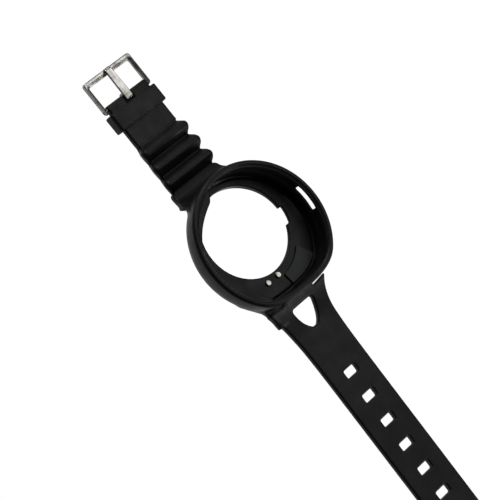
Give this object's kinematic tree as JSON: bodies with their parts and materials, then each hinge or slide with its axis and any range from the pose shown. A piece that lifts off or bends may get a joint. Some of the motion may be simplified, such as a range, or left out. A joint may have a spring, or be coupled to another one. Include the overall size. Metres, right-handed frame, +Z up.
{
  "type": "wrist boot for a dive computer",
  "caption": "Empty round wrist boot for a dive computer: a black rubber ring with a bellows strap, a loop keeper, a steel pin buckle and a holed tail.",
  "frame": {"origin": "the middle of the part's outline, on the surface it lies on", "axes": "+X along the strap from the buckle to the tail's tip, +Z up through the display side of the ring, +Y across, towards the button slot"},
  "size_m": [0.2896, 0.066, 0.0225],
  "materials": {
    "rubber": "satin moulded rubber",
    "keeper_rubber": "satin moulded rubber",
    "pad": "matte",
    "steel": "plain turned steel",
    "buckle_steel": "brushed, with polished edges"
  },
  "bodies": {
    "boot": {"boot_body": "rubber", "seat_pad": "pad", "contact_stud_side": "steel", "contact_stud_middle": "steel"},
    "rib_1": {"bellows_rib_1": "rubber"},
    "rib_2": {"bellows_rib_2": "rubber"},
    "rib_3": {"bellows_rib_3": "rubber"},
    "buckle_strap": {"buckle_strap": "rubber", "spring_bar_tube": "steel", "spring_bar_spring": "steel"},
    "keeper": {"keeper_loop": "keeper_rubber"},
    "pin_left": {"spring_bar_pin_left": "steel"},
    "pin_right": {"spring_bar_pin_right": "steel"},
    "buckle_frame": {"buckle_frame": "buckle_steel"},
    "prong": {"buckle_prong": "buckle_steel"},
    "tail_1": {"tail_1": "rubber"},
    "tail_2": {"tail_2": "rubber"},
    "tail_3": {"tail_3": "rubber"},
    "tail_4": {"tail_4": "rubber"},
    "tail_5": {"tail_5": "rubber"}
  },
  "joints": [
    {"name": "bellows_bend_1", "type": "hinge", "parent": "boot", "child": "rib_1", "pos_m": [-0.0843, 0, 0.0023], "axis": [0, -1, 0], "range_deg": [-2, 10], "stiffness_Nm_per_rad": 0.25, "springref_deg": 1.15},
    {"name": "bellows_bend_2", "type": "hinge", "parent": "rib_1", "child": "rib_2", "pos_m": [-0.09245, 0, 0.0023], "axis": [0, -1, 0], "range_deg": [-2, 10], "stiffness_Nm_per_rad": 0.25, "springref_deg": 1.15},
    {"name": "bellows_bend_3", "type": "hinge", "parent": "rib_2", "child": "rib_3", "pos_m": [-0.1006, 0, 0.0023], "axis": [0, -1, 0], "range_deg": [-2, 10], "stiffness_Nm_per_rad": 0.25, "springref_deg": 1.15},
    {"name": "bellows_bend_4", "type": "hinge", "parent": "rib_3", "child": "buckle_strap", "pos_m": [-0.10875, 0, 0.0023], "axis": [0, -1, 0], "range_deg": [-2, 10], "stiffness_Nm_per_rad": 0.25, "springref_deg": 1.15},
    {"name": "tail_bend_1", "type": "hinge", "parent": "boot", "child": "tail_1", "pos_m": [0.003, 0, 0.0052], "axis": [0, 1, 0], "range_deg": [-4, 24], "stiffness_Nm_per_rad": 0.25, "springref_deg": 1.72},
    {"name": "tail_bend_2", "type": "hinge", "parent": "tail_1", "child": "tail_2", "pos_m": [0.0294, 0, 0.0039], "axis": [0, 1, 0], "range_deg": [-4, 24], "stiffness_Nm_per_rad": 0.25, "springref_deg": 1.72},
    {"name": "tail_bend_3", "type": "hinge", "parent": "tail_2", "child": "tail_3", "pos_m": [0.0558, 0, 0.0026], "axis": [0, 1, 0], "range_deg": [-4, 24], "stiffness_Nm_per_rad": 0.25, "springref_deg": 1.72},
    {"name": "tail_bend_4", "type": "hinge", "parent": "tail_3", "child": "tail_4", "pos_m": [0.0822, 0, 0.0013], "axis": [0, 1, 0], "range_deg": [-4, 24], "stiffness_Nm_per_rad": 0.25, "springref_deg": 1.72},
    {"name": "tail_bend_5", "type": "hinge", "parent": "tail_4", "child": "tail_5", "pos_m": [0.1086, 0, 0], "axis": [0, 1, 0], "range_deg": [-4, 24], "stiffness_Nm_per_rad": 0.25, "springref_deg": 1.72},
    {"name": "keeper_slide", "type": "slide", "parent": "buckle_strap", "child": "keeper", "axis": [1, 0, 0], "range_m": [0, 0.009]},
    {"name": "frame_swing", "type": "hinge", "parent": "buckle_strap", "child": "buckle_frame", "pos_m": [-0.1293, 0, 0.0039], "axis": [0, 1, 0], "range_deg": [-35, 30]},
    {"name": "prong_swing", "type": "hinge", "parent": "buckle_frame", "child": "prong", "pos_m": [-0.1293, 0, 0.0039], "axis": [0, 1, 0], "range_deg": [0, 55]},
    {"name": "pin_left_press", "type": "slide", "parent": "buckle_strap", "child": "pin_left", "axis": [0, -1, 0], "range_m": [0, 0.0017], "stiffness_N_per_m": 400, "deforming": ["spring_bar_spring"]},
    {"name": "pin_right_press", "type": "slide", "parent": "buckle_strap", "child": "pin_right", "axis": [0, 1, 0], "range_m": [0, 0.0017], "stiffness_N_per_m": 400, "deforming": ["spring_bar_spring"]}
  ],
  "couplings": [
    {"joint": "bellows_bend_2", "follows": "bellows_bend_1", "ratio": 1},
    {"joint": "bellows_bend_3", "follows": "bellows_bend_1", "ratio": 1},
    {"joint": "bellows_bend_4", "follows": "bellows_bend_1", "ratio": 1},
    {"joint": "tail_bend_2", "follows": "tail_bend_1", "ratio": 1},
    {"joint": "tail_bend_3", "follows": "tail_bend_1", "ratio": 1},
    {"joint": "tail_bend_4", "follows": "tail_bend_1", "ratio": 1},
    {"joint": "tail_bend_5", "follows": "tail_bend_1", "ratio": 1}
  ]
}
